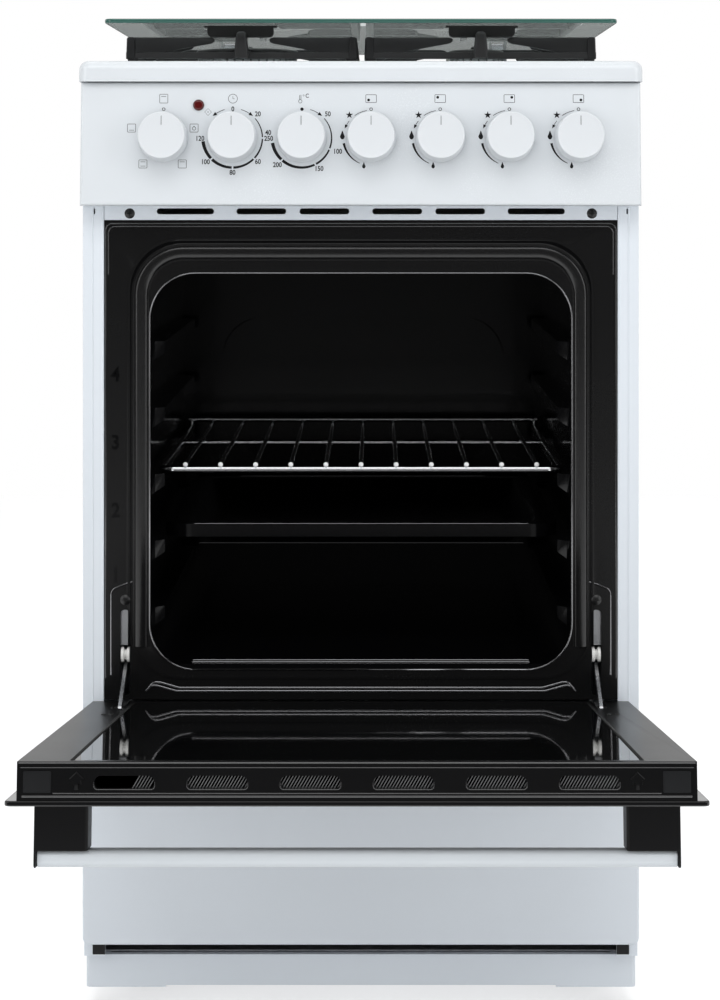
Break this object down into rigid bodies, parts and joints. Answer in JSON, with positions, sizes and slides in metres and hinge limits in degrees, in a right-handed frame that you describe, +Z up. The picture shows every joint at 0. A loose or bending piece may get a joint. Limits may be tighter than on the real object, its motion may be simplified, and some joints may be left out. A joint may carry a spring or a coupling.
{
  "type": "gas and electric cooker",
  "caption": "Free-standing narrow cooker with a gas hob under a glass lid, a knob panel, an electric oven with a drop-down door and a drawer.",
  "frame": {"origin": "on the floor, midway between the four levelling feet", "axes": "+X to the right as seen from the front, +Y to the back, +Z up"},
  "size_m": [0.5, 1.0553, 0.889],
  "materials": {
    "white_enamel": "gloss white enamel",
    "zinc_steel": "galvanised",
    "black_plastic": "satin black",
    "black_screws": "black oxide",
    "red_lens": "clear red",
    "cup_aluminium": "cast, matt",
    "brass": "turned",
    "black_cap_enamel": "matt black enamel",
    "white_ceramic": "glazed",
    "cast_iron": "black enamelled casting",
    "gas_steel": "drawn tube",
    "cavity_enamel": "gloss black enamel",
    "seal_rubber": "satin",
    "mineral_wool": "pressed fibre",
    "element_steel": "oxidised tube",
    "lamp_glass": "clear",
    "white_roller": "moulded",
    "link_steel": "stamped",
    "lid_glass": "clear, green at the edges",
    "buffer_rubber": "moulded",
    "white_knob": "satin white",
    "chromed_wire": "bright",
    "door_black": "satin black",
    "black_glass": "black glass",
    "inner_glass": "dark reflective glass",
    "handle_aluminium": "satin anodised"
  },
  "bodies": {
    "root": {"base_frame": "zinc_steel", "levelling_feet": "black_plastic", "side_panel_left": "white_enamel", "side_panel_right": "white_enamel", "rear_panel": "zinc_steel", "plinth": "white_enamel", "vent_rail": "white_enamel", "body_screws": "black_screws", "control_panel": "white_enamel", "indicator_lamp": "red_lens", "worktop": "white_enamel", "burner_cups": "cup_aluminium", "injectors": "brass", "flame_spreaders": "cup_aluminium", "burner_caps": "black_cap_enamel", "spark_electrodes": "white_ceramic", "pan_support_left": "cast_iron", "pan_support_right": "cast_iron", "gas_manifold": "gas_steel", "gas_taps": "brass", "gas_pipes": "gas_steel", "gas_inlet": "brass", "ignition_unit": "black_plastic", "oven_switches": "black_plastic", "cavity_liner": "cavity_enamel", "front_frame": "cavity_enamel", "door_gasket": "seal_rubber", "insulation": "mineral_wool", "top_element": "element_steel", "bottom_element": "element_steel", "oven_lamp": "lamp_glass", "hinge_housings": "zinc_steel", "hinge_rollers": "white_roller", "lid_hinge_seats": "zinc_steel", "cable_gland": "black_plastic"},
    "lid": {"glass_lid": "lid_glass", "lid_hinge_arms": "link_steel", "lid_buffers": "buffer_rubber"},
    "shelf": {"wire_shelf": "chromed_wire"},
    "tray": {"baking_tray": "cavity_enamel"},
    "door": {"door_frame": "door_black", "door_outer_glass": "black_glass", "door_inner_glass": "inner_glass", "handle_brackets": "black_plastic", "handle_bar": "handle_aluminium"},
    "links": {"door_links": "link_steel"},
    "drawer": {"drawer_box": "zinc_steel", "drawer_front": "white_enamel"},
    "function_knob": {"knob_function": "white_knob"},
    "timer_knob": {"knob_timer": "white_knob"},
    "thermostat_knob": {"knob_thermostat": "white_knob"},
    "spindle_1": {"tap_spindle_1": "brass"},
    "gas_knob_1": {"knob_gas_1": "white_knob"},
    "spindle_2": {"tap_spindle_2": "brass"},
    "gas_knob_2": {"knob_gas_2": "white_knob"},
    "spindle_3": {"tap_spindle_3": "brass"},
    "gas_knob_3": {"knob_gas_3": "white_knob"},
    "spindle_4": {"tap_spindle_4": "brass"},
    "gas_knob_4": {"knob_gas_4": "white_knob"}
  },
  "joints": [
    {"name": "door_hinge", "type": "hinge", "parent": "root", "child": "door", "pos_m": [0, -0.3017, 0.2716], "axis": [1, 0, 0], "range_deg": [-82.95, 0]},
    {"name": "door_link", "type": "hinge", "parent": "door", "child": "links", "pos_m": [0, -0.33365, 0.2821], "axis": [1, 0, 0], "range_deg": [0, 52.28]},
    {"name": "lid_hinge", "type": "hinge", "parent": "root", "child": "lid", "pos_m": [0, 0.255, 0.88], "axis": [-1, 0, 0], "range_deg": [0, 92]},
    {"name": "shelf_slide", "type": "slide", "parent": "root", "child": "shelf", "axis": [0, -1, 0], "range_m": [0, 0.3]},
    {"name": "tray_slide", "type": "slide", "parent": "root", "child": "tray", "axis": [0, -1, 0], "range_m": [0, 0.3]},
    {"name": "drawer_slide", "type": "slide", "parent": "root", "child": "drawer", "axis": [0, -1, 0], "range_m": [0, 0.3]},
    {"name": "function_turn", "type": "hinge", "parent": "root", "child": "function_knob", "pos_m": [-0.1744, -0.30875, 0.7816], "axis": [0, 0.9962, -0.0872], "continuous": true},
    {"name": "timer_turn", "type": "hinge", "parent": "root", "child": "timer_knob", "pos_m": [-0.1132, -0.30875, 0.7816], "axis": [0, 0.9962, -0.0872], "range_deg": [0, 272]},
    {"name": "thermostat_turn", "type": "hinge", "parent": "root", "child": "thermostat_knob", "pos_m": [-0.052, -0.30875, 0.7816], "axis": [0, 0.9962, -0.0872], "range_deg": [0, 270]},
    {"name": "gas_push_1", "type": "slide", "parent": "root", "child": "spindle_1", "axis": [0, 0.9962, -0.0872], "range_m": [0, 0.003], "stiffness_N_per_m": 600},
    {"name": "gas_turn_1", "type": "hinge", "parent": "spindle_1", "child": "gas_knob_1", "pos_m": [0.0092, -0.30875, 0.7816], "axis": [0, -0.9962, 0.0872], "range_deg": [0, 170]},
    {"name": "gas_push_2", "type": "slide", "parent": "root", "child": "spindle_2", "axis": [0, 0.9962, -0.0872], "range_m": [0, 0.003], "stiffness_N_per_m": 600},
    {"name": "gas_turn_2", "type": "hinge", "parent": "spindle_2", "child": "gas_knob_2", "pos_m": [0.0704, -0.30875, 0.7816], "axis": [0, -0.9962, 0.0872], "range_deg": [0, 170]},
    {"name": "gas_push_3", "type": "slide", "parent": "root", "child": "spindle_3", "axis": [0, 0.9962, -0.0872], "range_m": [0, 0.003], "stiffness_N_per_m": 600},
    {"name": "gas_turn_3", "type": "hinge", "parent": "spindle_3", "child": "gas_knob_3", "pos_m": [0.1316, -0.30875, 0.7816], "axis": [0, -0.9962, 0.0872], "range_deg": [0, 170]},
    {"name": "gas_push_4", "type": "slide", "parent": "root", "child": "spindle_4", "axis": [0, 0.9962, -0.0872], "range_m": [0, 0.003], "stiffness_N_per_m": 600},
    {"name": "gas_turn_4", "type": "hinge", "parent": "spindle_4", "child": "gas_knob_4", "pos_m": [0.1928, -0.30875, 0.7816], "axis": [0, -0.9962, 0.0872], "range_deg": [0, 170]}
  ],
  "couplings": [
    {"joint": "door_link", "follows": "door_hinge", "ratio": -0.63019}
  ]
}
